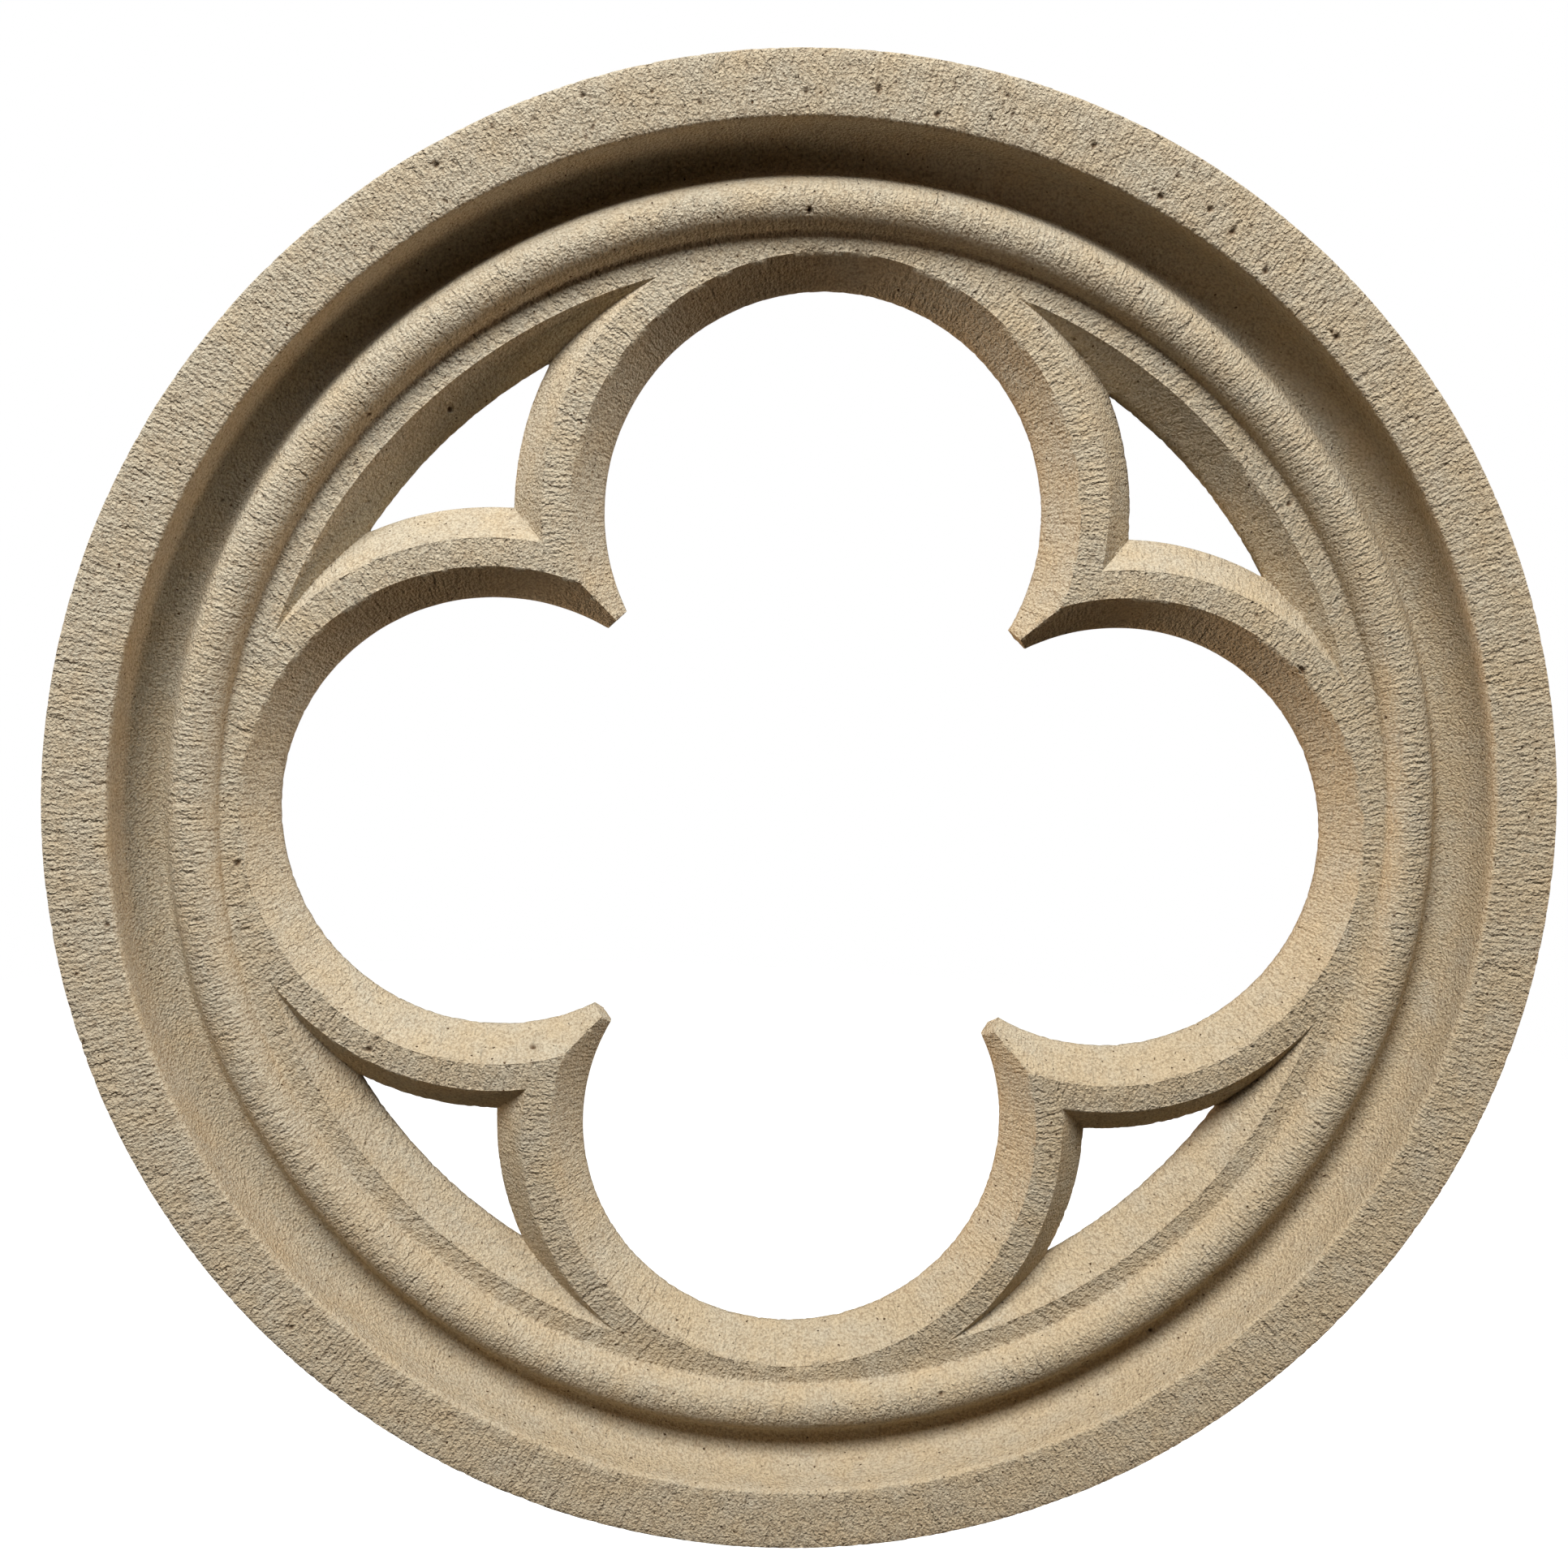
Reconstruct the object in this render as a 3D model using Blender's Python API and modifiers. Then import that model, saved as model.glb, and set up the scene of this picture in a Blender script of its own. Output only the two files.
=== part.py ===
"""Round quatrefoil window, carved from one block of pale limestone.

The window stands upright and faces -Y.  Its back is flat, on the plane y = 0, and the origin is
on that back, in the middle of the band of stone below the bottom foil.  Sizes are in metres.

In section, from the edge inwards, the front has a flat rim, a deep hollow, a roll and a narrow
fillet.  Inside them four foils with chamfered edges meet in blunt cusps, and behind each cusp
there is a pierced spandrel.  The back has only the plain chamfers of the openings.
"""
import math

import bmesh
import bpy

# Driving dimensions
OUTER_RADIUS = 0.300
THICKNESS = 0.0555
RIM_WIDTH = 0.0249
HOLLOW_DEPTH = 0.0294         # from the rim's face down to the foot of the hollow
HOLLOW_WIDTH = 0.0182         # from the rim's arris in to where the hollow's curve is level
HOLLOW_FULLNESS = 2.6         # 2 is a plain elliptical hollow, and more has a flatter floor
ROLL_RADIUS = 0.0102
ROLL_CIRCLE = 0.2484          # radius of the circle that the roll's centre runs on
ROLL_DEPTH = 0.0238           # from the rim's face down to the roll's centre
ROLL_FLANK = math.radians(20) # the roll's outer flank stops this much short of upright
COVE_RADIUS = 0.2645          # where the cove at the foot of that flank runs out into the hollow
TRACERY_DEPTH = 0.0231        # from the rim's face down to the face of the tracery
CHAMFER_WIDTH = 0.0129        # of every chamfer, measured across the face
FRONT_CHAMFER = 0.0153        # how deep the chamfers of the front are
BACK_CHAMFER = 0.0129         # how deep those of the back are
FOIL_CIRCLE = 0.1286          # radius of the circle that the foils' centres lie on
FOIL_RADIUS = 0.0894          # clear radius of a foil
BAR_WIDTH = 0.0368            # across a bar of the tracery, where it is widest
SPANDREL_RADIUS = 0.2159      # clear radius of the spandrels' outer edge
CUSP_CIRCLE = 0.1168          # the cusps are cut off blunt on this radius

# What follows from them
FOILS = 4
TRACERY_Z = THICKNESS - TRACERY_DEPTH
BACK_ARRIS = FOIL_CIRCLE + FOIL_RADIUS + CHAMFER_WIDTH
BED_HEIGHT = (BACK_ARRIS + OUTER_RADIUS) / 2

# Fineness of the facets
RING_STEPS = 96
FOIL_STEPS = 72
ROLL_STEPS = 12
COVE_STEPS = 4
HOLLOW_STEPS = 7

# Modelling allowances
HUB_RADIUS = CUSP_CIRCLE / 2  # the blank's bore, all of which the cusp circle cuts away
OVERSHOOT = 0.010             # how far a cutter stands out of the stone
LIP = 0.002                   # how far a cutter's slope runs on past the face it cuts
SMOOTH_ANGLE = math.radians(25)


def roll_curve(start, end):
    """Points of the roll's round face, as (radius, height) pairs, between two angles."""
    points = []
    for step in range(ROLL_STEPS + 1):
        angle = start + (end - start) * step / ROLL_STEPS
        radius = ROLL_CIRCLE + ROLL_RADIUS * math.cos(angle)
        points.append((radius, THICKNESS - ROLL_DEPTH + ROLL_RADIUS * math.sin(angle)))
    return points


def hollow_curve():
    """Points of the hollow from the end of the cove up to the rim's arris."""
    foot = OUTER_RADIUS - RIM_WIDTH - HOLLOW_WIDTH
    power = 2.0 / HOLLOW_FULLNESS
    start = math.asin(((COVE_RADIUS - foot) / HOLLOW_WIDTH) ** (1.0 / power))
    points = []
    for step in range(HOLLOW_STEPS + 1):
        turn = start + (math.pi / 2 - start) * step / HOLLOW_STEPS
        rise = max(math.cos(turn), 0.0) ** power
        points.append((foot + HOLLOW_WIDTH * math.sin(turn) ** power, THICKNESS - HOLLOW_DEPTH * rise))
    return points


def cove_curve(start, end):
    """Points between the roll's flank and the hollow.  The curve leaves the flank straight on, towards the
    spot where the flank would reach the hollow's full depth, and bends round to the hollow."""
    floor = THICKNESS - HOLLOW_DEPTH
    aim = (start[0] + (start[1] - floor) * math.tan(ROLL_FLANK), floor)
    points = []
    for step in range(1, COVE_STEPS):
        t = step / COVE_STEPS
        shares = ((1 - t) ** 2, 2 * t * (1 - t), t ** 2)
        points.append(tuple(
            sum(share * point[axis] for share, point in zip(shares, (start, aim, end))) for axis in (0, 1)))
    return points


def turned(name, profile, collection, steps, centre=(0.0, 0.0), closed=False):
    """A profile of (radius, height) points turned about the upright axis through centre.
    A closed profile is joined up from its last point to its first."""
    mesh = bpy.data.meshes.new(name)
    shape = bmesh.new()
    vertices = [shape.verts.new((radius, 0.0, height)) for radius, height in profile]
    for first, second in zip(vertices, vertices[1:]):
        shape.edges.new((first, second))
    if closed:
        shape.edges.new((vertices[-1], vertices[0]))
    shape.to_mesh(mesh)
    shape.free()
    body = bpy.data.objects.new(name, mesh)
    body.location = (centre[0], centre[1], 0.0)
    collection.objects.link(body)
    screw = body.modifiers.new("Turn", "SCREW")
    screw.axis = "Z"
    screw.steps = steps
    screw.render_steps = steps
    screw.use_merge_vertices = True
    screw.merge_threshold = 0.00001
    return body


def cutter(name, profile, collection, steps, centre=(0.0, 0.0)):
    """A turned shape that only cuts, and is no part of the window."""
    body = turned(name, profile, collection, steps, centre)
    body.hide_render = True
    body.display_type = "WIRE"
    return body


def cut(body, tool):
    """Takes the tool's volume out of the body."""
    boolean = body.modifiers.new("Cut " + tool.name, "BOOLEAN")
    boolean.operation = "DIFFERENCE"
    boolean.solver = "EXACT"
    boolean.object = tool


def ring_profile():
    """Section through the window's ring, from the edge round by the back to the rim's face."""
    inner_foot = math.asin((ROLL_DEPTH - TRACERY_DEPTH) / ROLL_RADIUS)
    roll = roll_curve(math.pi - inner_foot, ROLL_FLANK)
    hollow = hollow_curve()
    outline = [(OUTER_RADIUS, THICKNESS), (OUTER_RADIUS, 0.0), (HUB_RADIUS, 0.0), (HUB_RADIUS, TRACERY_Z)]
    return outline + roll + cove_curve(roll[-1], hollow[0]) + hollow


def chamfered_disc(clear_radius, taper, overshoot):
    """Profile of a disc through the stone, with the clear radius in the middle of its height.
    Towards both faces it gets wider by the chamfer (taper 1), or narrower by it (taper -1)."""
    front_lip = clear_radius + taper * CHAMFER_WIDTH * (1 + LIP / FRONT_CHAMFER)
    back_lip = clear_radius + taper * CHAMFER_WIDTH * (1 + LIP / BACK_CHAMFER)
    return [
        (0.0, THICKNESS + overshoot),
        (front_lip, THICKNESS + overshoot),
        (front_lip, TRACERY_Z + LIP),
        (clear_radius, TRACERY_Z - FRONT_CHAMFER),
        (clear_radius, BACK_CHAMFER),
        (back_lip, -LIP),
        (back_lip, -overshoot),
        (0.0, -overshoot),
    ]


def plain_disc(radius):
    """Profile of a plain disc through the stone."""
    top = THICKNESS + OVERSHOOT
    return [(0.0, top), (radius, top), (radius, -OVERSHOOT), (0.0, -OVERSHOOT)]


def foil_centre(number):
    """Centre of a foil: the foils stand at the right, the top, the left and the bottom."""
    angle = math.tau * number / FOILS
    return (FOIL_CIRCLE * math.cos(angle), FOIL_CIRCLE * math.sin(angle))


def spandrel_cutter(collection):
    """One disc for all the spandrels, from which the bars round the foils are left out."""
    spandrels = cutter("spandrels", chamfered_disc(SPANDREL_RADIUS, 1, OVERSHOOT), collection, RING_STEPS)
    bar_profile = chamfered_disc(FOIL_RADIUS + BAR_WIDTH, -1, OVERSHOOT + LIP)
    for number in range(FOILS):
        cut(spandrels, cutter("bar_%d" % number, bar_profile, collection, FOIL_STEPS, foil_centre(number)))
    return spandrels


def foil_cutters(collection):
    """The openings of the foils, and the plain round hole that cuts the cusps off blunt."""
    foil_profile = chamfered_disc(FOIL_RADIUS, 1, OVERSHOOT)
    tools = [
        cutter("foil_%d" % number, foil_profile, collection, FOIL_STEPS, foil_centre(number))
        for number in range(FOILS)
    ]
    tools.append(cutter("middle", plain_disc(CUSP_CIRCLE), collection, RING_STEPS))
    return tools


def limestone():
    """Pale buff limestone with a sawn and rubbed face."""
    material = bpy.data.materials.new("limestone")
    material.use_nodes = True
    shader = material.node_tree.nodes["Principled BSDF"]
    shader.inputs["Base Color"].default_value = (0.47, 0.38, 0.26, 1.0)
    shader.inputs["Roughness"].default_value = 0.95
    shader.inputs["Metallic"].default_value = 0.0
    material.diffuse_color = (0.47, 0.38, 0.26, 1.0)
    return material


def keep_shape(body):
    """Replaces the body's modifiers by the shape that they make, shaded smooth on its curves.
    The weld joins the twin corners that a cut can leave where two facets meet a third."""
    weld = body.modifiers.new("Join corners", "WELD")
    weld.merge_threshold = 0.00001
    graph = bpy.context.evaluated_depsgraph_get()
    blank = body.data
    body.data = bpy.data.meshes.new_from_object(body.evaluated_get(graph))
    body.modifiers.clear()
    bpy.data.meshes.remove(blank)
    body.data.name = body.name
    body.data.shade_smooth()
    body.data.set_sharp_from_angle(angle=SMOOTH_ANGLE)


def make_window(collection, cutter_collection):
    """The window in one piece, lying on its back, then stood up on the plane y = 0."""
    window = turned("rose_window", ring_profile(), collection, RING_STEPS, closed=True)
    for tool in [spandrel_cutter(cutter_collection)] + foil_cutters(cutter_collection):
        cut(window, tool)
    keep_shape(window)
    window.data.materials.append(limestone())
    window.location = (0.0, 0.0, BED_HEIGHT)
    window.rotation_euler = (math.radians(90), 0.0, 0.0)
    return window


def main():
    for item in list(bpy.data.objects):
        bpy.data.objects.remove(item, do_unlink=True)
    parts = bpy.data.collections.new("rose_window")
    cutters = bpy.data.collections.new("cutters")
    bpy.context.scene.collection.children.link(parts)
    bpy.context.scene.collection.children.link(cutters)
    make_window(parts, cutters)


main()
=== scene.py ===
"""Round quatrefoil window of pale limestone, carved and dressed for rendering.

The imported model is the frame: its box says how large the window is and where it stands.  The carved
stone replaces the plain solid, with true curves, worn arrises, pits and a grained, dragged face.
"""
import functools
import math
import random

import bmesh
import bpy
from mathutils import Matrix, Vector, noise
from mathutils.kdtree import KDTree


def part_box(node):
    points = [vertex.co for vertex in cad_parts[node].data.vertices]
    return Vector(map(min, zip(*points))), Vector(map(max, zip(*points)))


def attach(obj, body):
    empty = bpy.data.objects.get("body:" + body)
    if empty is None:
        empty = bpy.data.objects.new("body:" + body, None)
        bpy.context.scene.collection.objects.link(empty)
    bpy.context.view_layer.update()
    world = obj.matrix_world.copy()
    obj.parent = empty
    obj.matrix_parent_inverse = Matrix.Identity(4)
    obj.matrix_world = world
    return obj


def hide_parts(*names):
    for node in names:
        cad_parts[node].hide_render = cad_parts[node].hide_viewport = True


bl_info = {
    "name": "Rose window",
    "version": (1, 0, 0),
    "blender": (4, 5, 0),
    "location": "3D Viewport > Sidebar > Rose window",
    "description": "Carves a round quatrefoil window in limestone and sets the studio round it",
    "category": "Object",
}

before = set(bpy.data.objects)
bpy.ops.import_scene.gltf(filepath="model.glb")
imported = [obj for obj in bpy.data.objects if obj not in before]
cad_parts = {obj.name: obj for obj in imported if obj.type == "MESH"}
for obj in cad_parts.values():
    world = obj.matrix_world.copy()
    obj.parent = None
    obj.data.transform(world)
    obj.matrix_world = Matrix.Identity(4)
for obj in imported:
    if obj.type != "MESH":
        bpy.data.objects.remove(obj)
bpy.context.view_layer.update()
LOW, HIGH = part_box("rose_window")
MM = 0.001
RADIUS = (HIGH.x - LOW.x) / 2
THICKNESS = HIGH.y - LOW.y
CENTRE = Vector(((LOW.x + HIGH.x) / 2, HIGH.y, (LOW.z + HIGH.z) / 2))
FOILS = 4

# Fineness of the carved mesh
QUARTER_STEPS = 160           # facets to a quarter of the ring
FOIL_STEPS = 224              # facets round a foil
BAR_STEPS = 288               # facets round the outside of a bar
ROLL_STEPS = 18
INNER_COVE_STEPS = 4
COVE_STEPS = 8
HOLLOW_STEPS = 13
FINE = 3.0 * MM               # longest cells of the front and the openings, across the mouldings
COARSE = 12.0 * MM            # longest cells of the back and the outer edge
PIT_CUTS = 3                  # how often the mesh's edges are cut round a pit

# Allowances of the carving
OVERSHOOT = 10.0 * MM         # how far a cutter stands out of the stone
LIP = 2.0 * MM                # how far a cutter's slope runs on past the face it cuts
SAME = MM / 1000              # places this close together are one
TINY = MM / 100               # edges shorter than this are removed
CLOSE = MM / 5                # corners this close together are joined after the cuts
ARRIS_ANGLE = math.radians(20)  # an edge that turns outwards by more is an arris
SHARP_ANGLE = math.radians(60)  # an edge that turns by more is shaded sharp

# Places and form of the pits
FRONT_BAND = (0.4 * RADIUS, RADIUS)
RIM_BAND = (0.92 * RADIUS, RADIUS)
UPPER_BEARINGS = (0.2, 0.7)   # in half turns from the right
FRONT_COSINE = 0.5            # a face that turns further than this from the front has no pit
OPEN_COSINE = 0.93            # nor has one whose neighbours turn further than this from it
SMALLEST_PIT = 0.5            # radius of the smallest pit, as a share of the largest
PIT_STRETCH = 0.7             # how much longer than wide a pit may be, as a share of its width
PIT_DEPTH = 0.8               # depth of a pit in its middle, as a share of its radius
PIT_UNEVENNESS = 0.35         # how far a pit's edge strays, as a share of its radius
PIT_NOISE = 1.6 * MM          # spacing of that unevenness
PIT_LAYER = "pit"

# Form of the stone's patterns
BENDS_TO_A_GRAIN = 0.7
BEND_REACH = 1.4              # how far the patterns are bent, in grains
RING_GIRTH = 0.9 * RADIUS     # radius on which the ring's ripples have their true width
HOLLOW_START = 0.86 * RADIUS  # radius from which the hollow's finish comes in
HOLLOW_FULL = 0.88 * RADIUS
RIM_CLEAR = 3.0 * MM          # depth below the rim's highest face from which it comes in
RIM_FAR = 5.0 * MM
CHAMFER_FACING = -0.75        # how far a face looks to the front, where -1 is straight
FLAT_FACING = -0.95
MARKS_TO_A_RIPPLE = 0.35
MARK_START = 0.40             # value of the noise below which a drag mark starts
MARK_FULL = 0.30
CELLS_WITHOUT_HOLE = 0.35     # share of the cells that have no small hole
LARGEST_HOLE = 0.20           # radius of the largest small hole, as a share of their spacing
HOLE_FLOOR = 0.55             # radius of a hole's flat floor, as a share of the hole's
LIGHT_TINT_DIRECTION = (-0.7, 0.0, 0.7)  # the way in which the painted light tint turns the stone greyer; it is yellower at the lower right
WARM_TINT = 0.30              # value of the noise up to which the stone is all yellow
GREY_TINT = 0.70              # and from which it is all grey
GROOVE_START = 0.38           # height of the grains below which the darkening starts: dirt and painted shade in the grooves
GROOVE_FULL = 0.02

# The floor
FLOOR_RADIUS = 12 * RADIUS
FLOOR_STEPS = 96
WHITE = (1, 1, 1, 1)


def linear(code):
    """An sRGB hex colour as linear red, green and blue."""
    channels = [int(code[place:place + 2], 16) / 255 for place in (1, 3, 5)]
    return tuple(c / 12.92 if c <= 0.04045 else ((c + 0.055) / 1.055) ** 2.4 for c in channels)


def length(name, text, default):
    """A setting in metres."""
    return bpy.props.FloatProperty(
        name=name, description=text, default=default, min=0.0, precision=5,
        subtype="DISTANCE", unit="LENGTH")


def share(name, text, default, most=1.0):
    """A plain number from nothing up to the most it may be."""
    return bpy.props.FloatProperty(name=name, description=text, default=default, min=0.0, max=most)


def colour(name, text, code):
    """A colour, from its sRGB hex value."""
    return bpy.props.FloatVectorProperty(
        name=name, description=text, default=linear(code), min=0.0, max=1.0, subtype="COLOR")


class WindowSizes(bpy.types.PropertyGroup):
    """Sizes of the window's mouldings and tracery"""
    rim_width: length("Rim width", "Width of the flat band round the edge", 24.9 * MM)
    hollow_depth: length("Hollow depth", "From the rim's face to the foot of the hollow", 29.4 * MM)
    hollow_width: length("Hollow width", "From the rim's arris in to where the hollow is level", 18.2 * MM)
    hollow_fullness: share("Hollow fullness", "2 is an ellipse, more has a flatter floor", 2.6, 6.0)
    roll_radius: length("Roll radius", "Radius of the roll's round face", 10.2 * MM)
    roll_circle: length("Roll circle", "Radius of the circle that the roll runs on", 248.4 * MM)
    roll_depth: length("Roll depth", "From the rim's face to the roll's centre", 23.8 * MM)
    roll_flank: bpy.props.FloatProperty(
        name="Roll flank", description="How much short of upright the roll's outer flank stops",
        default=math.radians(20), min=0.0, unit="ROTATION")
    cove_radius: length("Cove radius", "Where the cove at the foot of that flank runs out", 264.5 * MM)
    tracery_depth: length("Tracery depth", "From the rim's face to the tracery's face", 23.1 * MM)
    chamfer_width: length("Chamfer width", "Width of a chamfer across the face", 12.9 * MM)
    front_chamfer: length("Front chamfer", "Depth of the chamfers of the front", 15.3 * MM)
    back_chamfer: length("Back chamfer", "Depth of the chamfers of the back", 12.9 * MM)
    foil_circle: length("Foil circle", "Radius of the circle of the foils' centres", 128.6 * MM)
    foil_radius: length("Foil radius", "Clear radius of a foil", 89.4 * MM)
    bar_width: length("Bar width", "Width of a tracery bar, where it is widest", 36.8 * MM)
    spandrel_radius: length("Spandrel radius", "Clear radius of the spandrels' outer edge", 215.9 * MM)
    cusp_circle: length("Cusp circle", "Radius on which the cusps are cut off blunt", 116.8 * MM)


class StoneWear(bpy.types.PropertyGroup):
    """How far the carved surface departs from its true form"""
    rim_fall: length("Rim fall", "How much lower the rim's face is at its inner arris", 2.1 * MM)
    rounding: length("Rounding", "Radius of the rim's worn arrises", 0.9 * MM)
    foot_cove: length("Foot cove", "Size of the cove at the roll's inner foot", 1.3 * MM)
    arris_wear: length("Arris wear", "How far a sharp arris is worn back everywhere", 0.20 * MM)
    arris_chips: length("Arris chips", "How much further it is worn back in places", 0.60 * MM)
    chip_size: length("Chip size", "Spacing of the chips along an arris", 2.2 * MM)
    swell_depth: length("Swell depth", "Depth of the broad unevenness of the dressed face", 0.25 * MM)
    swell_size: length("Swell size", "Spacing of the broad unevenness", 30.0 * MM)
    dent_depth: length("Dent depth", "Depth of the small dents", 0.12 * MM)
    dent_size: length("Dent size", "Spacing of the small dents", 7.0 * MM)
    pits: bpy.props.IntProperty(name="Pits", description="Number of open pits", default=56, min=0)
    pit_radius: length("Pit radius", "Radius of the largest pits", 1.5 * MM)
    seed: bpy.props.IntProperty(name="Seed", description="Start of the random draws", default=7)


class StoneFinish(bpy.types.PropertyGroup):
    """Colours and grain of the limestone"""
    warm: colour("Warm patches", "Colour of the yellower patches", "#D5BF9B")
    grey: colour("Grey patches", "Colour of the greyer patches", "#D1C3A8")
    patch_size: length("Patch size", "Spacing of the warm and grey patches", 18.0 * MM)
    # Painted light tint: the stone is painted yellower at the lower right and greyer towards the upper left
    light_tint_change: share("Bed change", "How far the stone turns from yellow at the lower right to grey", 0.15)
    # Dirt and painted shade: the colour that darkens the grooves between the grains
    dirt_and_shade: colour("Dirt", "Colour of the dirt in the grooves", "#785A3C")
    groove_darkening: share("Dirtiness", "How much of the dirt's colour the grooves take", 0.48)
    # Dirt and painted shade: the colour that darkens the pits and the small holes
    pit_dirt_and_shade: colour("Pit dirt", "Colour of the dirt in the pits and small holes", "#5C4229")
    grain: length("Grain", "Pitch of the grains", 1.1 * MM)
    ripple: length("Ripple", "Pitch of the ripples, which run across every moulding", 1.4 * MM)
    drag: share("Drag", "How far the ripples are shortened along their length", 0.26)
    relief: length("Relief", "Depth of the grain and the ripples", 0.80 * MM)
    grain_share: share("Grain share", "Depth of the grains, as a share of the relief", 0.50)
    ripple_share: share("Ripple share", "Depth of the ripples, as a share of the relief", 1.0, 2.0)
    mark_share: share("Mark share", "Depth of a deeper drag mark, as a share of the relief", 0.70, 2.0)
    hollow_ripples: share("Hollow ripples", "How much of the ripples is left in the hollow", 0.25)
    chamfer_ripples: share("Chamfer ripples", "How much of the ripples is left on the chamfers", 0.65)
    hollow_grain: share("Hollow grain", "How much stronger the grains are in the hollow", 1.4, 6.0)
    speck: length("Specks", "Spacing of the small dark holes", 2.8 * MM)
    speck_share: share("Speck share", "Depth of the small holes, as a share of the relief", 1.0, 4.0)
    roughness: share("Roughness", "Roughness of the dry stone", 0.95)
    specular: share("Specular level", "Strength of the mirror reflection, usually 0.5", 0.2)


class StudioSettings(bpy.types.PropertyGroup):
    """Camera, floor and soft lights"""
    lens: bpy.props.FloatProperty(
        name="Lens", description="Focal length on a 36 mm sensor", default=37.44, unit="CAMERA")
    camera_place: bpy.props.FloatVectorProperty(
        name="Camera place", description="From the middle of the window's back", subtype="TRANSLATION",
        unit="LENGTH", default=(-0.0438, -0.6899, 0.1054))
    camera_turn: bpy.props.FloatVectorProperty(
        name="Camera turn", description="The camera's rotation", subtype="EULER", unit="ROTATION",
        default=tuple(math.radians(angle) for angle in (82.611, -2.878, -2.418)))
    floor_drop: length("Floor drop", "From the window's middle down to the floor", 0.95)
    floor_colour: colour("Floor", "Colour of the pale floor", "#F9F9F7")
    floor_light: share("Floor light", "Strength of the light from below the floor", 1.0, 4.0)
    floor_roughness: share("Floor roughness", "Roughness of the matt sheet", 0.6)
    key_power: bpy.props.FloatProperty(
        name="Key light", description="Power of the main soft light above the window", default=65.0,
        unit="POWER")
    key_colour: colour("Key colour", "Colour of the main lights, near daylight", "#F6FAFF")
    glow_power: bpy.props.FloatProperty(
        name="Glow", description="Power of the warm glow from the right and the left", default=35.0,
        unit="POWER")
    glow_colour: colour("Glow colour", "Colour of the weak warm glow that reaches the shade", "#FFE4CA")
    fill: share("Fill", "Strength of the even light from all round", 0.0)


# Carved stone -----------------------------------------------------------------------------------

def between(start, end, steps):
    """Evenly spaced values from start to end, both included."""
    return [start + (end - start) * step / steps for step in range(steps + 1)]


def roll_curve(sizes, start, end):
    """Points of the roll's round face, as (radius, height) pairs, between two angles."""
    middle = THICKNESS - sizes.roll_depth
    radius = sizes.roll_radius
    return [
        (sizes.roll_circle + radius * math.cos(turn), middle + radius * math.sin(turn))
        for turn in between(start, end, ROLL_STEPS)
    ]


def hollow_curve(sizes, wear):
    """Points of the hollow from the end of the cove up to the rim's arris."""
    foot = RADIUS - sizes.rim_width - sizes.hollow_width
    edge = THICKNESS - wear.rim_fall
    height = sizes.hollow_depth - wear.rim_fall
    power = 2 / sizes.hollow_fullness
    start = math.asin(((sizes.cove_radius - foot) / sizes.hollow_width) ** (1 / power))
    points = []
    for turn in between(start, math.pi / 2, HOLLOW_STEPS):
        rise = max(math.cos(turn), 0.0) ** power
        points.append((foot + sizes.hollow_width * math.sin(turn) ** power, edge - height * rise))
    return points


def cove_curve(start, aim, end, steps):
    """Points of a cove between two points.  It leaves and reaches them in the direction of a third."""
    points = []
    for t in between(0.0, 1.0, steps)[1:-1]:
        parts = ((1 - t) ** 2, 2 * t * (1 - t), t ** 2)
        points.append([
            sum(part * point[axis] for part, point in zip(parts, (start, aim, end)))
            for axis in (0, 1)
        ])
    return points


def rim_curve(sizes, wear):
    """The rim's face between its two worn arrises.  It falls a little towards the hollow."""
    inner = RADIUS - sizes.rim_width
    rounding = wear.rounding
    edge = THICKNESS - wear.rim_fall
    return [
        (inner, edge - 1.2 * rounding),
        (inner + 0.5 * rounding, edge - 0.25 * rounding),
        (inner + 1.6 * rounding, edge),
        (RADIUS - rounding, THICKNESS),
        (RADIUS - 0.3 * rounding, THICKNESS - 0.3 * rounding),
    ]


def ring_profile(sizes, wear):
    """Section through the window's ring, from its outer edge round by the back to the rim's face."""
    tracery = THICKNESS - sizes.tracery_depth
    hub = sizes.cusp_circle / 2
    foot = math.asin((sizes.roll_depth - sizes.tracery_depth) / sizes.roll_radius)
    inner_flank = math.pi - foot - wear.foot_cove / sizes.roll_radius
    roll = roll_curve(sizes, inner_flank, sizes.roll_flank)
    hollow = hollow_curve(sizes, wear)
    rounding = wear.rounding
    edge = [(RADIUS, THICKNESS - rounding), (RADIUS, rounding), (RADIUS - rounding, 0.0)]
    back = [(hub, 0.0), (hub, tracery)]

    # The cove at the roll's inner foot, which runs out on the fillet
    corner = (sizes.roll_circle - sizes.roll_radius * math.cos(foot), tracery)
    fillet = (corner[0] - wear.foot_cove, tracery)
    inner_cove = [fillet] + cove_curve(fillet, corner, roll[0], INNER_COVE_STEPS)

    # The cove at its outer foot starts off towards the spot where the flank would reach the hollow's depth
    floor = THICKNESS - sizes.hollow_depth
    aim = (roll[-1][0] + (roll[-1][1] - floor) * math.tan(sizes.roll_flank), floor)
    outer_cove = cove_curve(roll[-1], aim, hollow[0], COVE_STEPS)
    return edge + back + inner_cove + roll + outer_cove + hollow[:-1] + rim_curve(sizes, wear)


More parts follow.
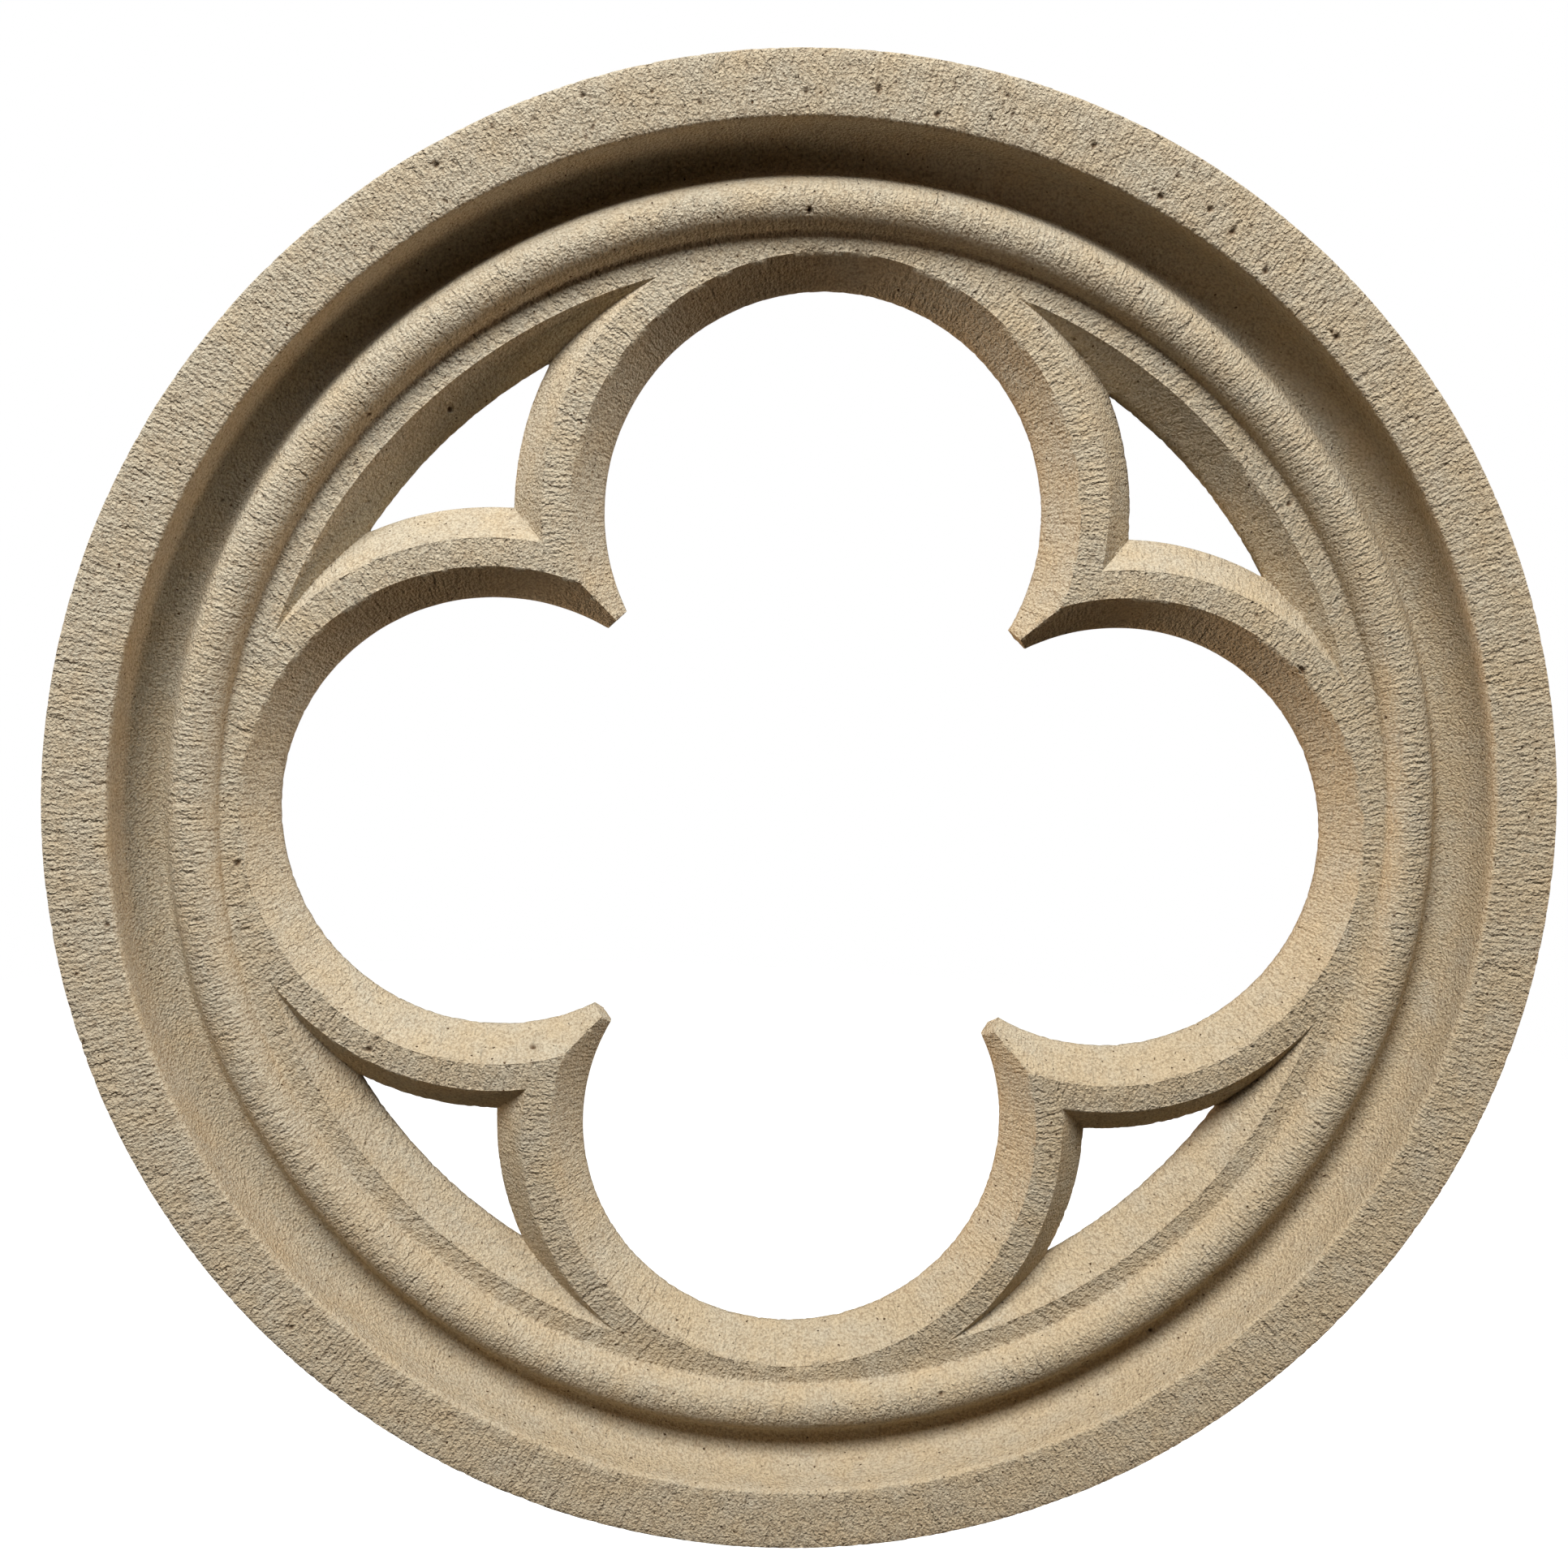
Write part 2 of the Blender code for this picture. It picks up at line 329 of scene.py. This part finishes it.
def chamfered_disc(sizes, clear_radius, taper, overshoot):
    """Profile of a disc through the stone, with the clear radius in the middle of its height.
    Towards both faces it gets wider by the chamfer (taper 1), or narrower by it (taper -1)."""
    tracery = THICKNESS - sizes.tracery_depth
    front_lip = clear_radius + taper * sizes.chamfer_width * (1 + LIP / sizes.front_chamfer)
    back_lip = clear_radius + taper * sizes.chamfer_width * (1 + LIP / sizes.back_chamfer)
    return [
        (0.0, THICKNESS + overshoot),
        (front_lip, THICKNESS + overshoot),
        (front_lip, tracery + LIP),
        (clear_radius, tracery - sizes.front_chamfer),
        (clear_radius, sizes.back_chamfer),
        (back_lip, -LIP),
        (back_lip, -overshoot),
        (0.0, -overshoot),
    ]


def cell_size(first, second):
    """How long the mesh's cells may be between two points of a profile: the back and the outer edge
    are plain, so they take longer ones, and what lies outside the stone takes none."""
    low = min(first.co.z, second.co.z)
    high = max(first.co.z, second.co.z)
    level = high - low < SAME
    if level and (low > THICKNESS or high < 0.0):
        return RADIUS
    on_edge = min(first.co.x, second.co.x) > RADIUS - TINY
    on_back = high < TINY
    return COARSE if on_edge or on_back else FINE


def turned(name, profile, steps, centre=(0.0, 0.0), closed=False):
    """A profile of (radius, height) points turned about the upright axis through centre: a quarter is
    spun, and mirrored twice.  A closed profile is joined up from its last point to its first."""
    shape = bmesh.new()
    corners = [shape.verts.new((radius, 0.0, height)) for radius, height in profile]
    sides = [shape.edges.new(pair) for pair in zip(corners, corners[1:])]
    if closed:
        sides.append(shape.edges.new((corners[-1], corners[0])))
    for side in sides:
        cuts = int(side.calc_length() / cell_size(*side.verts))
        if cuts:
            bmesh.ops.subdivide_edges(shape, edges=[side], cuts=cuts)
    bmesh.ops.spin(
        shape, geom=shape.verts[:] + shape.edges[:], cent=(0, 0, 0), axis=(0, 0, 1),
        angle=math.tau / 4, steps=steps)
    for axis in "XY":
        bmesh.ops.mirror(
            shape, geom=shape.verts[:] + shape.edges[:] + shape.faces[:], axis=axis, merge_dist=SAME)
    bmesh.ops.remove_doubles(shape, verts=shape.verts, dist=SAME)
    bmesh.ops.recalc_face_normals(shape, faces=shape.faces)
    bmesh.ops.translate(shape, verts=shape.verts, vec=(centre[0], centre[1], 0.0))
    return keep(name, shape)


def keep(name, shape):
    """Puts a bmesh into an object of its own in the scene, and frees it."""
    mesh = bpy.data.meshes.new(name)
    shape.to_mesh(mesh)
    shape.free()
    piece = bpy.data.objects.new(name, mesh)
    bpy.context.scene.collection.objects.link(piece)
    return piece


def cut(piece, tools):
    """Takes the tools' volume out of a piece, and removes the tools.  The exact solver gives the same
    corners each run, but not in the same order."""
    for tool in tools:
        boolean = piece.modifiers.new("Cut", "BOOLEAN")
        boolean.operation = "DIFFERENCE"
        boolean.solver = "EXACT"
        boolean.object = tool
    graph = bpy.context.evaluated_depsgraph_get()
    blank = piece.data
    piece.data = bpy.data.meshes.new_from_object(piece.evaluated_get(graph))
    piece.modifiers.clear()
    bpy.data.meshes.remove(blank)
    for tool in tools:
        bpy.data.meshes.remove(tool.data)


def foil_centres(sizes):
    """Centres of the foils: they stand at the right, the top, the left and the bottom."""
    turns = [math.tau * number / FOILS for number in range(FOILS)]
    return [(sizes.foil_circle * math.cos(turn), sizes.foil_circle * math.sin(turn)) for turn in turns]


def carved_blank(sizes, wear):
    """The window in its true form, lying on its back."""
    window = turned("carved_window", ring_profile(sizes, wear), QUARTER_STEPS, closed=True)
    spandrel = chamfered_disc(sizes, sizes.spandrel_radius, 1, OVERSHOOT)
    spandrels = turned("spandrels", spandrel, QUARTER_STEPS)
    bar = chamfered_disc(sizes, sizes.foil_radius + sizes.bar_width, -1, OVERSHOOT + LIP)
    cut(spandrels, [turned("bar", bar, BAR_STEPS // 4, centre) for centre in foil_centres(sizes)])
    foil = chamfered_disc(sizes, sizes.foil_radius, 1, OVERSHOOT)
    tools = [turned("foil", foil, FOIL_STEPS // 4, centre) for centre in foil_centres(sizes)]
    top = THICKNESS + OVERSHOOT
    middle = [(0.0, top), (sizes.cusp_circle, top), (sizes.cusp_circle, -OVERSHOOT), (0.0, -OVERSHOOT)]
    cut(window, [spandrels, turned("middle", middle, FOIL_STEPS // 4)] + tools)
    return window


def arrises(shape):
    """The edges along the sharp outward corners."""
    return [
        edge for edge in shape.edges
        if edge.is_manifold and edge.calc_face_angle_signed() > ARRIS_ANGLE
    ]


def clean(shape):
    """Joins the corners that the cuts left too close together, and makes every face a triangle, which
    can't fold when its corners move."""
    bmesh.ops.remove_doubles(shape, verts=shape.verts, dist=CLOSE)
    bmesh.ops.dissolve_degenerate(shape, edges=shape.edges, dist=TINY)
    needless = [corner for corner in shape.verts if len(corner.link_edges) == 2]
    bmesh.ops.dissolve_verts(shape, verts=needless)
    bmesh.ops.triangulate(shape, faces=shape.faces)
    shape.normal_update()


def split(shape, edges, cuts):
    """Splits edges, and the triangles beside them into smaller ones.  Returns the new corners.
    What is left with four corners is split from a new one, and what has more round its middle."""
    made = bmesh.ops.subdivide_edges(shape, edges=edges, cuts=cuts, use_grid_fill=True)
    corners = {item for item in made["geom"] if isinstance(item, bmesh.types.BMVert)}
    for face in [face for face in shape.faces if len(face.verts) == 4]:
        number = next(number for number, corner in enumerate(face.verts) if corner in corners)
        bmesh.utils.face_split(face, face.verts[number], face.verts[number - 2])
    bmesh.ops.poke(shape, faces=[face for face in shape.faces if len(face.verts) > 4])
    return corners


def wear_arrises(shape, wear):
    """Wears the sharp outward arrises back, further in some places than in others."""
    split(shape, arrises(shape), 1)
    shape.normal_update()
    worn = {corner: corner.normal.copy() for edge in arrises(shape) for corner in edge.verts}
    for corner, outward in worn.items():
        chip = max(noise.noise(corner.co / wear.chip_size), 0.0)
        corner.co -= outward * (wear.arris_wear + wear.arris_chips * chip)


def roughen(shape, wear):
    """Lowers the front in broad swells and small dents, as a hand-dressed face is."""
    shape.normal_update()
    moves = []
    for corner in shape.verts:
        swell = 0.5 + 0.5 * noise.noise(corner.co / wear.swell_size)
        dent = 0.5 + 0.5 * noise.noise(corner.co / wear.dent_size)
        depth = wear.swell_depth * swell + wear.dent_depth * dent
        moves.append((corner, corner.normal * depth))
    for corner, move in moves:
        corner.co -= move


def is_open(face):
    """Whether a face lies away from every arris, so that the faces round it look the same way."""
    around = {other for corner in face.verts for other in corner.link_faces}
    return all(other.normal.dot(face.normal) > OPEN_COSINE for other in around)


def pit_places(shape, wear, draw):
    """Faces to dig the pits in: every other one in the upper part of the rim, the rest all over."""
    front = [face for face in shape.faces if face.normal.z > FRONT_COSINE and is_open(face)]
    finder = KDTree(len(front))
    for number, face in enumerate(front):
        finder.insert(face.calc_center_median() * Vector((1, 1, 0)), number)
    finder.balance()
    places = []
    while len(places) < wear.pits:
        if len(places) % 2:
            bearing = draw.uniform(0.0, math.tau)
            radius = draw.uniform(*FRONT_BAND)
        else:
            bearing = draw.uniform(*UPPER_BEARINGS) * math.pi
            radius = draw.uniform(*RIM_BAND)
        number, distance = finder.find((radius * math.cos(bearing), radius * math.sin(bearing), 0.0))[1:]
        if distance < FINE / 2:
            places.append(front[number])
    return places


def dig_pits(shape, wear):
    """Opens small rounded pits in the front, half of them in the upper part of the rim.  The attribute
    named pit says how deep in a pit each corner of the mesh lies."""
    draw = random.Random(wear.seed)
    sunk = shape.verts.layers.float.new(PIT_LAYER)
    spots = []
    for face in pit_places(shape, wear, draw):
        radius = wear.pit_radius * (SMALLEST_PIT + (1.0 - SMALLEST_PIT) * draw.random() ** 2)
        stretch = 1.0 + PIT_STRETCH * draw.random()
        turn = draw.uniform(0.0, math.tau)
        spots.append((face.calc_center_median(), face.normal.copy(), radius, stretch, turn))
    for place, outward, radius, stretch, turn in spots:
        reach = radius * stretch + FINE / 2
        near = [face for face in shape.faces if (face.calc_center_median() - place).length < reach]
        edges = list({edge for face in near for edge in face.edges})
        long_way = Vector((math.cos(turn), math.sin(turn), 0.0))
        for corner in split(shape, edges, PIT_CUTS):
            offset = corner.co - place
            offset -= outward * offset.dot(outward)
            along = offset.dot(long_way)
            across = (offset - long_way * along).length
            distance = math.hypot(along / stretch, across) / radius
            distance *= 1.0 + PIT_UNEVENNESS * noise.noise(corner.co / PIT_NOISE)
            if distance < 1.0:
                corner.co -= outward * (PIT_DEPTH * radius * (1.0 - distance * distance))
                corner[sunk] = 1.0 - distance * distance


def stand_up(shape):
    """Turns the window from lying on its back to its place in the frame."""
    bmesh.ops.rotate(shape, verts=shape.verts, cent=(0, 0, 0), matrix=Matrix.Rotation(math.pi / 2, 3, "X"))
    bmesh.ops.translate(shape, verts=shape.verts, vec=CENTRE)


# Finish -----------------------------------------------------------------------------------------

def add_node(tree, kind, inputs, **settings):
    """Adds a node with its settings.  Each input takes a value, or the output of another node."""
    made = tree.nodes.new(kind)
    for name, value in settings.items():
        setattr(made, name, value)
    for name, value in inputs.items():
        if isinstance(value, bpy.types.NodeSocket):
            tree.links.new(value, made.inputs[name])
        else:
            made.inputs[name].default_value = value
    return made


def across_mouldings(add, centred, radius, sizes, finish):
    """A place in which whatever is drawn comes out long across the mouldings: away from the window's
    middle on the ring, and away from the foil's centre on the tracery."""
    flatwise = add("ShaderNodeVectorMath", {0: centred, 1: (1, 0, 1)}, operation="MULTIPLY").outputs[0]
    depth = add("ShaderNodeSeparateXYZ", {0: centred}).outputs["Y"]
    roll_foot = sizes.roll_circle - sizes.roll_radius
    on_tracery = add("ShaderNodeMath", {0: radius, 1: roll_foot}, operation="LESS_THAN").outputs[0]

    # The axis on which the nearest foil lies: the larger part of the bearing, rounded to one
    bearing = add("ShaderNodeVectorMath", {0: flatwise}, operation="NORMALIZE").outputs[0]
    halved = add("ShaderNodeVectorMath", {
        0: bearing, 1: [math.sqrt(0.5)] * 3, 2: [0.5] * 3}, operation="MULTIPLY_ADD").outputs[0]
    axis = add("ShaderNodeVectorMath", {0: halved}, operation="FLOOR").outputs[0]
    shift = add("ShaderNodeMath", {0: on_tracery, 1: sizes.foil_circle}, operation="MULTIPLY").outputs[0]
    foil = add("ShaderNodeVectorMath", {0: axis, "Scale": shift}, operation="SCALE").outputs[0]

    # Round the nearest centre the place keeps about its true length, and outwards it is shortened
    arm = add("ShaderNodeVectorMath", {0: flatwise, 1: foil}, operation="SUBTRACT").outputs[0]
    reach = add("ShaderNodeVectorMath", {0: arm}, operation="LENGTH").outputs["Value"]
    bearing = add("ShaderNodeVectorMath", {0: arm}, operation="NORMALIZE").outputs[0]
    bar_girth = sizes.foil_radius + sizes.bar_width / 2
    girth = add("ShaderNodeMapRange", {
        "Value": on_tracery, "To Min": RING_GIRTH, "To Max": bar_girth}).outputs[0]
    girth = add("ShaderNodeMath", {0: depth, 1: finish.drag, 2: girth}, operation="MULTIPLY_ADD").outputs[0]
    around = add("ShaderNodeVectorMath", {0: bearing, "Scale": girth}, operation="SCALE").outputs[0]
    reach = add("ShaderNodeMath", {0: reach, 1: finish.drag}, operation="MULTIPLY").outputs[0]
    away = add("ShaderNodeCombineXYZ", {"Y": reach}).outputs[0]
    return add("ShaderNodeVectorMath", {0: around, 1: away}, operation="ADD").outputs[0]


def hollow_share(add, centred, radius):
    """1 in the hollow, and on the ring's edge and back beside it, 0 elsewhere."""
    depth = add("ShaderNodeSeparateXYZ", {0: centred}).outputs["Y"]
    past_roll = add("ShaderNodeMapRange", {
        "Value": radius, "From Min": HOLLOW_START, "From Max": HOLLOW_FULL}).outputs[0]
    below_rim = add("ShaderNodeMapRange", {
        "Value": depth, "From Min": RIM_CLEAR - THICKNESS, "From Max": RIM_FAR - THICKNESS}).outputs[0]
    return add("ShaderNodeMath", {0: past_roll, 1: below_rim}, operation="MULTIPLY").outputs[0]


def ripple_share(add, hollow, finish):
    """How strong the ripples are: full on the flat faces, weaker on the chamfers, weakest in the hollow."""
    normal = add("ShaderNodeNewGeometry", {}).outputs["True Normal"]
    facing = add("ShaderNodeSeparateXYZ", {0: normal}).outputs["Y"]
    flat = add("ShaderNodeMapRange", {
        "Value": facing, "From Min": CHAMFER_FACING, "From Max": FLAT_FACING,
        "To Min": finish.chamfer_ripples, "To Max": 1.0}).outputs[0]
    return add("ShaderNodeMix", {"Factor": hollow, "A": flat, "B": finish.hollow_ripples}).outputs[0]


def drag_ripples(add, drawn, hollow, finish):
    """How far the face is sunk by the narrow grooves between the ripples, and by a deeper drag mark here
    and there."""
    ripples = add("ShaderNodeTexVoronoi", {"Vector": drawn, "Scale": 1 / finish.ripple}).outputs["Distance"]
    marks = add("ShaderNodeTexNoise", {
        "Vector": drawn, "Scale": MARKS_TO_A_RIPPLE / finish.ripple, "Detail": 2.0}).outputs["Fac"]
    marks = add("ShaderNodeMapRange", {
        "Value": marks, "From Min": MARK_START, "From Max": MARK_FULL,
        "To Max": finish.mark_share}).outputs[0]
    ripples = add("ShaderNodeMath", {
        0: ripples, 1: finish.ripple_share, 2: marks}, operation="MULTIPLY_ADD").outputs[0]
    strength = ripple_share(add, hollow, finish)
    return add("ShaderNodeMath", {0: ripples, 1: strength}, operation="MULTIPLY").outputs[0]


def rounded_grains(add, centred, bent, finish):
    """Height of the grains, with a fine grit on them."""
    grains = add("ShaderNodeTexVoronoi", {"Vector": bent, "Scale": 1 / finish.grain}).outputs["Distance"]
    grit = add("ShaderNodeTexNoise", {
        "Vector": centred, "Scale": 1 / finish.grain, "Detail": 3.0, "Roughness": 0.6}).outputs["Fac"]
    return add("ShaderNodeMath", {
        0: grains, 1: -finish.grain_share, 2: grit}, operation="MULTIPLY_ADD").outputs[0]


def small_holes(add, bent, finish):
    """1 in the small holes, 0 elsewhere.  A cell of the pattern has one hole or none."""
    cells = add("ShaderNodeTexVoronoi", {"Vector": bent, "Scale": 1 / finish.speck})
    draw = add("ShaderNodeSeparateColor", {0: cells.outputs["Color"]}).outputs[0]
    size = add("ShaderNodeMapRange", {
        "Value": draw, "From Min": CELLS_WITHOUT_HOLE, "To Max": LARGEST_HOLE}).outputs[0]
    floor = add("ShaderNodeMath", {0: size, 1: HOLE_FLOOR}, operation="MULTIPLY").outputs[0]
    return add("ShaderNodeMapRange", {
        "Value": cells.outputs["Distance"], "From Min": floor, "From Max": size,
        "To Min": 1.0, "To Max": 0.0}, interpolation_type="SMOOTHSTEP").outputs[0]


def stone_colour(add, centred, grains, holes, finish):
    """Colour of the stone: yellow and grey patches, and dirt with painted shade in the grooves between the
    grains and in the holes and pits.  A painted light tint turns the patches slowly greyer from the lower
    right upwards."""
    patches = add("ShaderNodeTexNoise", {
        "Vector": centred, "Scale": 1 / finish.patch_size, "Detail": 3.0, "Roughness": 0.6}).outputs["Fac"]
    # Painted light tint: greyer towards the upper left, yellower at the lower right
    light_tint = add("ShaderNodeVectorMath", {
        0: centred, 1: Vector(LIGHT_TINT_DIRECTION) / RADIUS}, operation="DOT_PRODUCT").outputs["Value"]
    tint = add("ShaderNodeMath", {
        0: light_tint, 1: finish.light_tint_change, 2: patches}, operation="MULTIPLY_ADD").outputs[0]
    tint = add("ShaderNodeMapRange", {
        "Value": tint, "From Min": WARM_TINT, "From Max": GREY_TINT}).outputs[0]
    stone = add("ShaderNodeMix", {
        "Factor": tint, "A": (*finish.warm, 1.0), "B": (*finish.grey, 1.0)},
        data_type="RGBA").outputs["Result"]
    # Dirt and painted shade darken the grooves between the grains
    grooves = add("ShaderNodeMapRange", {
        "Value": grains, "From Min": GROOVE_START, "From Max": GROOVE_FULL,
        "To Max": finish.groove_darkening}).outputs[0]
    stone = add("ShaderNodeMix", {
        "Factor": grooves, "A": stone, "B": (*finish.dirt_and_shade, 1.0)}, data_type="RGBA").outputs["Result"]
    # Dirt and painted shade darken the pits and the small holes
    pits = add("ShaderNodeAttribute", {}, attribute_name=PIT_LAYER).outputs["Fac"]
    sunk = add("ShaderNodeMath", {0: holes, 1: pits}, operation="MAXIMUM").outputs[0]
    return add("ShaderNodeMix", {
        "Factor": sunk, "A": stone, "B": (*finish.pit_dirt_and_shade, 1.0)}, data_type="RGBA").outputs["Result"]


def rubbed_limestone(sizes, finish):
    """Fine-grained limestone, carved and dragged.  Its face is matt.  It shows rounded grains, ripples
    drawn out across the mouldings, small holes darkened by dirt and painted shade, and faint warm and grey
    patches."""
    material = bpy.data.materials.new("rubbed_limestone")
    material.use_nodes = True
    tree = material.node_tree
    add = functools.partial(add_node, tree)
    place = add("ShaderNodeTexCoord", {}).outputs["Object"]
    centred = add("ShaderNodeVectorMath", {0: place, 1: CENTRE}, operation="SUBTRACT").outputs[0]
    flatwise = add("ShaderNodeVectorMath", {0: centred, 1: (1, 0, 1)}, operation="MULTIPLY").outputs[0]
    radius = add("ShaderNodeVectorMath", {0: flatwise}, operation="LENGTH").outputs["Value"]

    # All the patterns are bent by the same unevenness
    bend = add("ShaderNodeTexNoise", {
        "Vector": centred, "Scale": BENDS_TO_A_GRAIN / finish.grain, "Detail": 1.0}).outputs["Color"]
    bend = add("ShaderNodeVectorMath", {
        0: bend, "Scale": BEND_REACH * finish.grain}, operation="SCALE").outputs[0]
    drawn = across_mouldings(add, centred, radius, sizes, finish)
    drawn = add("ShaderNodeVectorMath", {0: drawn, 1: bend}, operation="ADD").outputs[0]
    bent = add("ShaderNodeVectorMath", {0: centred, 1: bend}, operation="ADD").outputs[0]

    # Height of the face: the grains, which are stronger in the hollow, less the ripples and the holes
    hollow = hollow_share(add, centred, radius)
    ripples = drag_ripples(add, drawn, hollow, finish)
    grains = rounded_grains(add, centred, bent, finish)
    holes = small_holes(add, bent, finish)
    strength = add("ShaderNodeMapRange", {
        "Value": hollow, "To Min": 1.0, "To Max": finish.hollow_grain}).outputs[0]
    face = add("ShaderNodeMath", {0: grains, 1: strength}, operation="MULTIPLY").outputs[0]
    face = add("ShaderNodeMath", {0: face, 1: ripples}, operation="SUBTRACT").outputs[0]
    face = add("ShaderNodeMath", {
        0: holes, 1: -finish.speck_share, 2: face}, operation="MULTIPLY_ADD").outputs[0]
    bump = add("ShaderNodeBump", {"Height": face, "Distance": finish.relief, "Strength": 1.0})

    shader = tree.nodes["Principled BSDF"]
    shader.inputs["Roughness"].default_value = finish.roughness
    shader.inputs["Specular IOR Level"].default_value = finish.specular
    tree.links.new(stone_colour(add, centred, grains, holes, finish), shader.inputs["Base Color"])
    tree.links.new(bump.outputs["Normal"], shader.inputs["Normal"])
    return material


class ROSE_OT_carve_window(bpy.types.Operator):
    """Carve the window and give it its worn limestone face"""
    bl_idname = "rose.carve_window"
    bl_label = "Carve window"

    def execute(self, context):
        scene = context.scene
        wear = scene.rose_wear
        window = carved_blank(scene.rose_sizes, wear)
        shape = bmesh.new()
        shape.from_mesh(window.data)
        clean(shape)
        wear_arrises(shape, wear)
        roughen(shape, wear)
        dig_pits(shape, wear)
        stand_up(shape)
        shape.to_mesh(window.data)
        shape.free()
        window.data.shade_smooth()
        window.data.set_sharp_from_angle(angle=SHARP_ANGLE)
        window.data.materials.append(rubbed_limestone(scene.rose_sizes, scene.rose_finish))
        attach(window, "root")
        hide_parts("rose_window")
        return {"FINISHED"}


# Studio -----------------------------------------------------------------------------------------

def soft_light(name, lean, turn, distance, size, power, tone):
    """A round soft light that faces the window, at a distance from its middle.  It leans away from
    straight in front: to the right where turn is 0, and upwards where turn is 90 degrees."""
    lamp = bpy.data.lights.new(name, "AREA")
    lamp.shape = "DISK"
    lamp.size = size
    lamp.energy = power
    lamp.color = tone
    lean = math.radians(lean)
    turn = math.radians(turn)
    away = Vector((math.sin(lean) * math.cos(turn), -math.cos(lean), math.sin(lean) * math.sin(turn)))
    light = bpy.data.objects.new(name, lamp)
    light.location = CENTRE + away * distance
    light.rotation_euler = away.to_track_quat("Z", "Y").to_euler()
    bpy.context.scene.collection.objects.link(light)


def set_lights(studio):
    """The main light above and a little to the left, two weaker ones at the right, and the warm glow
    that comes back from the surroundings."""
    key, glow = studio.key_power, studio.glow_power
    cool, warm = studio.key_colour, studio.glow_colour
    soft_light("key", lean=55, turn=105, distance=2.2, size=1.0, power=key, tone=cool)
    soft_light("key_right", lean=65, turn=65, distance=3.0, size=1.0, power=0.34 * key, tone=cool)
    soft_light("side_right", lean=105, turn=20, distance=3.0, size=1.2, power=0.45 * key, tone=cool)
    soft_light("glow_right", lean=85, turn=-20, distance=3.0, size=1.2, power=glow, tone=warm)
    soft_light("glow_behind", lean=105, turn=200, distance=3.0, size=1.2, power=1.33 * glow, tone=warm)
    soft_light("glow_left", lean=60, turn=160, distance=3.0, size=1.2, power=0.22 * glow, tone=warm)


def pale_surroundings(strength):
    """Weak even light from all round, behind which the camera sees plain white."""
    world = bpy.data.worlds.new("studio")
    bpy.context.scene.world = world
    world.use_nodes = True
    tree = world.node_tree
    seen = add_node(tree, "ShaderNodeLightPath", {}).outputs["Is Camera Ray"]
    light = tree.nodes["Background"]
    light.inputs["Color"].default_value = WHITE
    light.inputs["Strength"].default_value = strength
    white = add_node(tree, "ShaderNodeBackground", {"Color": WHITE, "Strength": 1.0})
    mix = add_node(tree, "ShaderNodeMixShader", {0: seen, 1: light.outputs[0], 2: white.outputs[0]})
    tree.links.new(mix.outputs[0], tree.nodes["World Output"].inputs["Surface"])


def lit_acrylic(studio):
    """Matt white acrylic sheet, lit from below as on a product table, so that it looks evenly pale."""
    material = bpy.data.materials.new("lit_acrylic")
    material.use_nodes = True
    shader = material.node_tree.nodes["Principled BSDF"]
    shader.inputs["Base Color"].default_value = (*studio.floor_colour, 1.0)
    shader.inputs["Roughness"].default_value = studio.floor_roughness
    shader.inputs["Emission Color"].default_value = (*studio.floor_colour, 1.0)
    shader.inputs["Emission Strength"].default_value = studio.floor_light
    return material


class ROSE_OT_set_studio(bpy.types.Operator):
    """Set the floor, the soft lights and the camera"""
    bl_idname = "rose.set_studio"
    bl_label = "Set studio"

    def execute(self, context):
        scene = context.scene
        studio = scene.rose_studio
        shape = bmesh.new()
        bmesh.ops.create_circle(shape, cap_ends=True, segments=FLOOR_STEPS, radius=FLOOR_RADIUS)
        bmesh.ops.translate(shape, verts=shape.verts, vec=(0.0, 0.0, CENTRE.z - studio.floor_drop))
        floor = keep("floor", shape)
        floor.data.materials.append(lit_acrylic(studio))
        floor.visible_diffuse = False
        floor.visible_glossy = False
        floor.visible_shadow = False
        set_lights(studio)
        pale_surroundings(studio.fill)
        lens = bpy.data.cameras.new("camera")
        lens.lens = studio.lens
        lens.sensor_width = 36.0
        camera = bpy.data.objects.new("camera", lens)
        camera.location = CENTRE + Vector(studio.camera_place)
        camera.rotation_euler = studio.camera_turn
        scene.collection.objects.link(camera)
        scene.camera = camera
        scene.view_settings.view_transform = "Standard"
        return {"FINISHED"}


class ROSE_PT_window(bpy.types.Panel):
    """The window's settings and steps"""
    bl_idname = "ROSE_PT_window"
    bl_label = "Rose window"
    bl_space_type = "VIEW_3D"
    bl_region_type = "UI"
    bl_category = "Rose window"

    def draw(self, context):
        scene = context.scene
        for step, groups in STEPS.items():
            box = self.layout.box()
            for group in groups:
                settings = getattr(scene, group)
                for name in settings.__annotations__:
                    box.prop(settings, name)
            box.operator(step)


GROUPS = {
    "rose_sizes": WindowSizes,
    "rose_wear": StoneWear,
    "rose_finish": StoneFinish,
    "rose_studio": StudioSettings,
}
STEPS = {
    "rose.carve_window": ("rose_sizes", "rose_wear", "rose_finish"),
    "rose.set_studio": ("rose_studio",),
}
CLASSES = (*GROUPS.values(), ROSE_OT_carve_window, ROSE_OT_set_studio, ROSE_PT_window)


def register():
    for item in CLASSES:
        bpy.utils.register_class(item)
    for name, group in GROUPS.items():
        setattr(bpy.types.Scene, name, bpy.props.PointerProperty(type=group))


def unregister():
    for name in GROUPS:
        delattr(bpy.types.Scene, name)
    for item in reversed(CLASSES):
        bpy.utils.unregister_class(item)


def main():
    register()
    bpy.ops.rose.carve_window()
    bpy.ops.rose.set_studio()


if __name__ == "__main__":
    main()
